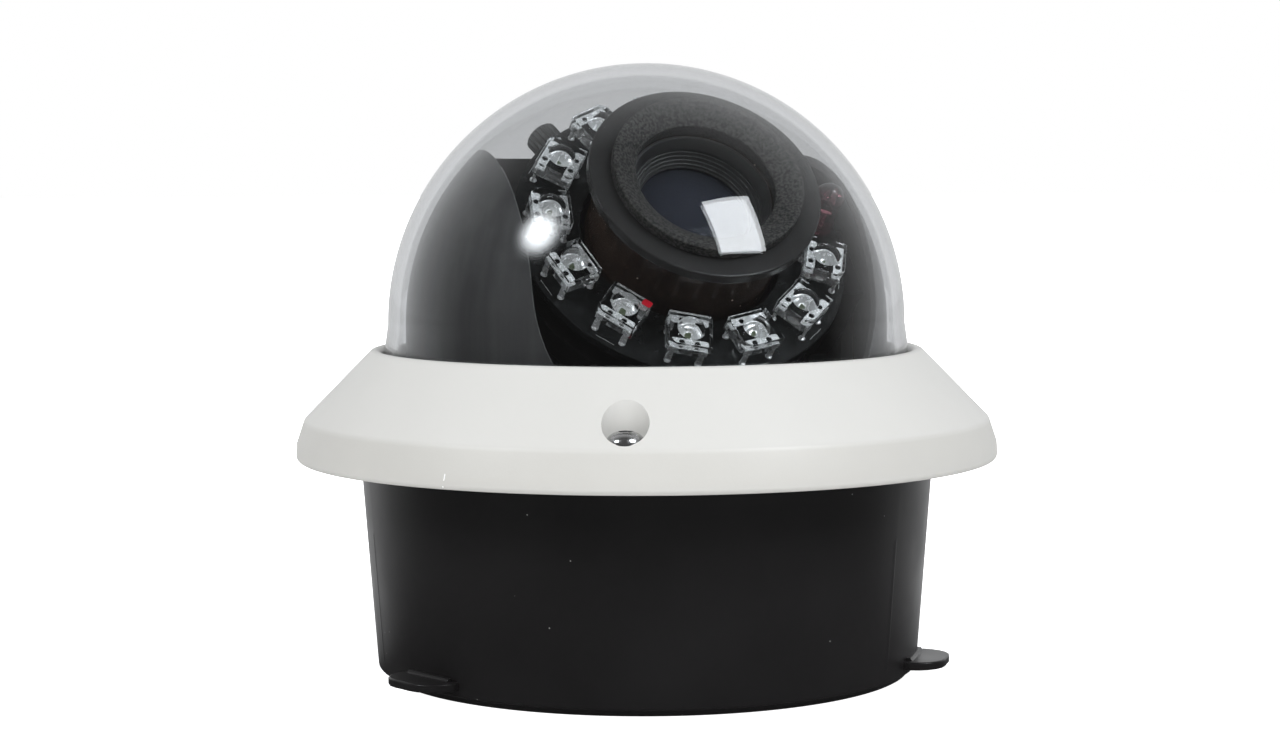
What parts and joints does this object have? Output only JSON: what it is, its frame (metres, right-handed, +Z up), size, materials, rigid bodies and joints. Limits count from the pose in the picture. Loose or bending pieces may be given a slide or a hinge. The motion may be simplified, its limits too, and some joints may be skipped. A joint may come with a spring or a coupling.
{
  "type": "security camera",
  "caption": "Recessed dome security camera: black can, white trim ring and clear dome over a varifocal lens with infrared lamps on a pan, tilt and turn gimbal.",
  "frame": {"origin": "centre of the can's flat closed end, which the camera stands on", "axes": "+Z up through the dome, -Y towards the viewer, the camera standing dome up"},
  "size_m": [0.1218, 0.1218, 0.1054],
  "materials": {
    "black_plastic": "satin moulded",
    "black_rubber": "matte",
    "white_paint": "warm white powder coat",
    "clear_dome": "clear polished polycarbonate",
    "stainless": "bright",
    "green_board": "solder mask",
    "chip_black": "matte epoxy",
    "cream_plastic": "satin",
    "zinc_casting": "die cast",
    "gloss_black": "satin gloss",
    "knob_grey": "matte ribbed",
    "black_board": "black solder mask",
    "clear_epoxy": "clear epoxy",
    "red_epoxy": "dark red translucent epoxy",
    "lens_black": "satin",
    "barrel_brown": "gloss dark brown",
    "lens_glass": "coated glass",
    "disc_grey": "satin dark grey",
    "dark_foam": "speckled foam"
  },
  "bodies": {
    "housing": {"can_housing": "black_plastic", "cable_grommet": "black_rubber", "trim_ring": "white_paint", "cover_gasket": "black_rubber", "dome_bubble": "clear_dome", "dome_gasket": "black_rubber", "dome_clamp_ring": "black_plastic", "cover_screw_1": "stainless", "cover_screw_2": "stainless", "cover_screw_3": "stainless", "dome_clamp_screw_1": "stainless", "dome_clamp_screw_2": "stainless", "dome_clamp_screw_3": "stainless", "main_board": "green_board", "board_screw_1": "stainless", "board_screw_2": "stainless", "video_processor": "chip_black", "power_capacitor": "chip_black", "cable_header": "cream_plastic", "pan_base_plate": "zinc_casting", "base_screw_1": "stainless", "base_screw_2": "stainless", "base_screw_3": "stainless"},
    "pan": {"pan_turntable": "black_plastic", "pan_retainer": "stainless", "inner_liner": "gloss_black", "yoke": "zinc_casting", "tilt_screw_left": "stainless", "tilt_screw_right": "stainless"},
    "tilt": {"tilt_carriage": "black_plastic"},
    "rotation_lock": {"rotation_lock_knob": "knob_grey"},
    "lens": {"lens_carrier": "black_plastic", "rotation_retainer": "stainless", "lamp_board": "black_board", "infrared_lamp_1": "clear_epoxy", "infrared_lamp_2": "clear_epoxy", "infrared_lamp_3": "clear_epoxy", "infrared_lamp_4": "clear_epoxy", "infrared_lamp_5": "clear_epoxy", "infrared_lamp_6": "clear_epoxy", "infrared_lamp_7": "clear_epoxy", "infrared_lamp_8": "clear_epoxy", "infrared_lamp_9": "clear_epoxy", "infrared_lamp_10": "clear_epoxy", "infrared_lamp_11": "clear_epoxy", "infrared_lamp_12": "clear_epoxy", "light_sensor": "red_epoxy", "sensor_board": "green_board", "image_sensor": "chip_black", "lens_mount": "lens_black", "lens_barrel": "lens_black", "front_barrel": "barrel_brown", "front_glass": "lens_glass", "lens_disc": "disc_grey", "foam_ring": "dark_foam"},
    "zoom": {"zoom_ring": "lens_black"},
    "focus": {"focus_ring": "lens_black"},
    "zoom_lock": {"zoom_lock_knob": "knob_grey"},
    "focus_lock": {"focus_lock_knob": "knob_grey"},
    "variator": {"variator_group": "lens_glass"}
  },
  "joints": [
    {"name": "camera_pan", "type": "hinge", "parent": "housing", "child": "pan", "pos_m": [0, 0, 0.0214], "axis": [0, 0, 1], "range_deg": [-170, 170]},
    {"name": "camera_tilt", "type": "hinge", "parent": "pan", "child": "tilt", "pos_m": [0, 0, 0.0605], "axis": [-0.9397, -0.342, 0], "range_deg": [-40, 49.5]},
    {"name": "lens_rotation", "type": "hinge", "parent": "tilt", "child": "lens", "pos_m": [0, 0, 0.0605], "axis": [0.2601, -0.7145, 0.6494], "range_deg": [-90, 90]},
    {"name": "rotation_lock_turn", "type": "hinge", "parent": "tilt", "child": "rotation_lock", "pos_m": [0.00354, -0.00972, 0.06933], "axis": [-0.6498, 0.368, 0.6651], "range_deg": [0, 270]},
    {"name": "zoom_turn", "type": "hinge", "parent": "lens", "child": "zoom", "pos_m": [0.00039, -0.00107, 0.06147], "axis": [0.2601, -0.7145, 0.6494], "range_deg": [-35, 70]},
    {"name": "focus_turn", "type": "hinge", "parent": "lens", "child": "focus", "pos_m": [-0.00117, 0.00321, 0.05758], "axis": [0.2601, -0.7145, 0.6494], "range_deg": [-60, 40]},
    {"name": "zoom_lock_turn", "type": "hinge", "parent": "zoom", "child": "zoom_lock", "pos_m": [0.00039, -0.00107, 0.06147], "axis": [0.959, 0.1127, -0.2601], "range_deg": [0, 270]},
    {"name": "focus_lock_turn", "type": "hinge", "parent": "focus", "child": "focus_lock", "pos_m": [-0.00117, 0.00321, 0.05758], "axis": [-0.8071, -0.5301, -0.2601], "range_deg": [0, 270]},
    {"name": "variator_travel", "type": "slide", "parent": "lens", "child": "variator", "axis": [0.2601, -0.7145, 0.6494], "range_m": [-0.00134, 0.00268]}
  ],
  "couplings": [
    {"joint": "zoom_turn", "follows": "variator_travel", "rad_per_m": 454.55}
  ]
}
